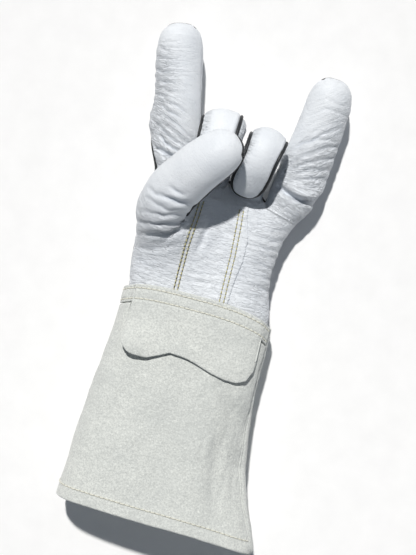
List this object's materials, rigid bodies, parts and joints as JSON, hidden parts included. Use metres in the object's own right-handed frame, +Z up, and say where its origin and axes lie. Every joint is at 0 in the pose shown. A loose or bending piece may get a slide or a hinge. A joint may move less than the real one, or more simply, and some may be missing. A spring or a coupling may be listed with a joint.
{
  "type": "welding glove",
  "caption": "Left-hand gauntlet welding glove in pale grain leather with a split-leather cuff, piped seams, a palm patch and a wrist flap, set in a horned-hand gesture.",
  "frame": {"origin": "flat underside of the gauntlet, on the table, straight below the middle of the wrist seam", "axes": "+Y along the glove towards the fingertips, +X towards the little finger, +Z up out of the palm, with the glove lying on its back"},
  "size_m": [0.1476, 0.3495, 0.1002],
  "materials": {
    "hide": "smooth white grain leather, fine grain, low satin sheen",
    "suede": "matt split leather with a short nap, pale warm grey",
    "piping": "near-black rolled leather piping, semi-matt",
    "yellow_thread": "olive-yellow waxed aramid sewing thread",
    "cream_thread": "cream sewing thread"
  },
  "bodies": {
    "cuff": {"cuff_front": "suede", "cuff_back": "suede", "hem_facing": "suede", "cuff_welt_little_side": "suede", "cuff_welt_thumb_side": "suede", "palm_heel": "hide", "back_heel": "hide", "flap_band": "suede", "wrist_thread_upper": "cream_thread", "wrist_thread_lower": "cream_thread", "hem_thread": "cream_thread"},
    "flap": {"flap": "suede"},
    "hand": {"palm_panel": "hide", "back_panel": "hide", "hand_welt_little_side": "piping", "hand_welt_thumb_side": "piping", "palm_patch": "hide", "palm_thread_1": "yellow_thread", "palm_thread_2": "yellow_thread", "palm_thread_3": "yellow_thread", "palm_thread_4": "yellow_thread"},
    "index_base": {"index_front_lower": "hide", "index_back_lower": "hide", "index_gusset_lower": "hide", "index_welt_a_lower": "piping", "index_welt_b_lower": "piping"},
    "index_tip": {"index_front_upper": "hide", "index_back_upper": "hide", "index_gusset_upper": "hide", "index_welt_upper": "piping"},
    "middle": {"middle_front": "hide", "middle_back": "hide", "middle_gusset_ring_side": "hide", "middle_gusset_index_side": "hide", "middle_welt": "piping"},
    "ring": {"ring_front": "hide", "ring_back": "hide", "ring_gusset_little_side": "hide", "ring_gusset_middle_side": "hide", "ring_welt": "piping"},
    "little_base": {"little_front_lower": "hide", "little_back_lower": "hide", "little_gusset_lower": "hide", "little_welt_a_lower": "piping", "little_welt_b_lower": "piping"},
    "little_tip": {"little_front_upper": "hide", "little_back_upper": "hide", "little_gusset_upper": "hide", "little_welt_upper": "piping"},
    "thumb": {"thumb_front": "hide", "thumb_back": "hide", "thumb_welt": "piping"}
  },
  "joints": [
    {"name": "wrist_bend", "type": "hinge", "parent": "cuff", "child": "hand", "pos_m": [0, 0.015, 0.024], "axis": [1, 0, 0], "range_deg": [-20, 20], "stiffness_Nm_per_rad": 1.5},
    {"name": "flap_lift", "type": "hinge", "parent": "cuff", "child": "flap", "pos_m": [0, -0.0132, 0.0555], "axis": [-1, 0, 0], "range_deg": [0, 100], "stiffness_Nm_per_rad": 0.01},
    {"name": "index_knuckle", "type": "hinge", "parent": "hand", "child": "index_base", "pos_m": [-0.0397, 0.0935, 0.0204], "axis": [0.9794, 0.2021, 0], "range_deg": [-10, 30], "stiffness_Nm_per_rad": 0.3},
    {"name": "index_middle_joint", "type": "hinge", "parent": "index_base", "child": "index_tip", "pos_m": [-0.0481, 0.134, 0.0235], "axis": [0.9794, 0.2021, 0], "range_deg": [0, 40], "stiffness_Nm_per_rad": 0.2},
    {"name": "middle_knuckle", "type": "hinge", "parent": "hand", "child": "middle", "pos_m": [-0.0124, 0.095, 0.0215], "axis": [1, 0, 0], "range_deg": [-40, 0], "stiffness_Nm_per_rad": 0.3},
    {"name": "ring_knuckle", "type": "hinge", "parent": "hand", "child": "ring", "pos_m": [0.0142, 0.0925, 0.0215], "axis": [0.9752, -0.16, -0.153], "range_deg": [-40, 0], "stiffness_Nm_per_rad": 0.3},
    {"name": "little_knuckle", "type": "hinge", "parent": "hand", "child": "little_base", "pos_m": [0.0419, 0.082, 0.0193], "axis": [0.9907, -0.1361, 0], "range_deg": [-10, 20], "stiffness_Nm_per_rad": 0.3},
    {"name": "little_middle_joint", "type": "hinge", "parent": "little_base", "child": "little_tip", "pos_m": [0.0478, 0.116, 0.0226], "axis": [0.9907, -0.1361, 0], "range_deg": [0, 30], "stiffness_Nm_per_rad": 0.2},
    {"name": "thumb_lift", "type": "hinge", "parent": "hand", "child": "thumb", "pos_m": [-0.0415, 0.052, 0.0435], "axis": [0.4539, -0.7314, 0.509], "range_deg": [0, 30], "stiffness_Nm_per_rad": 0.3}
  ]
}
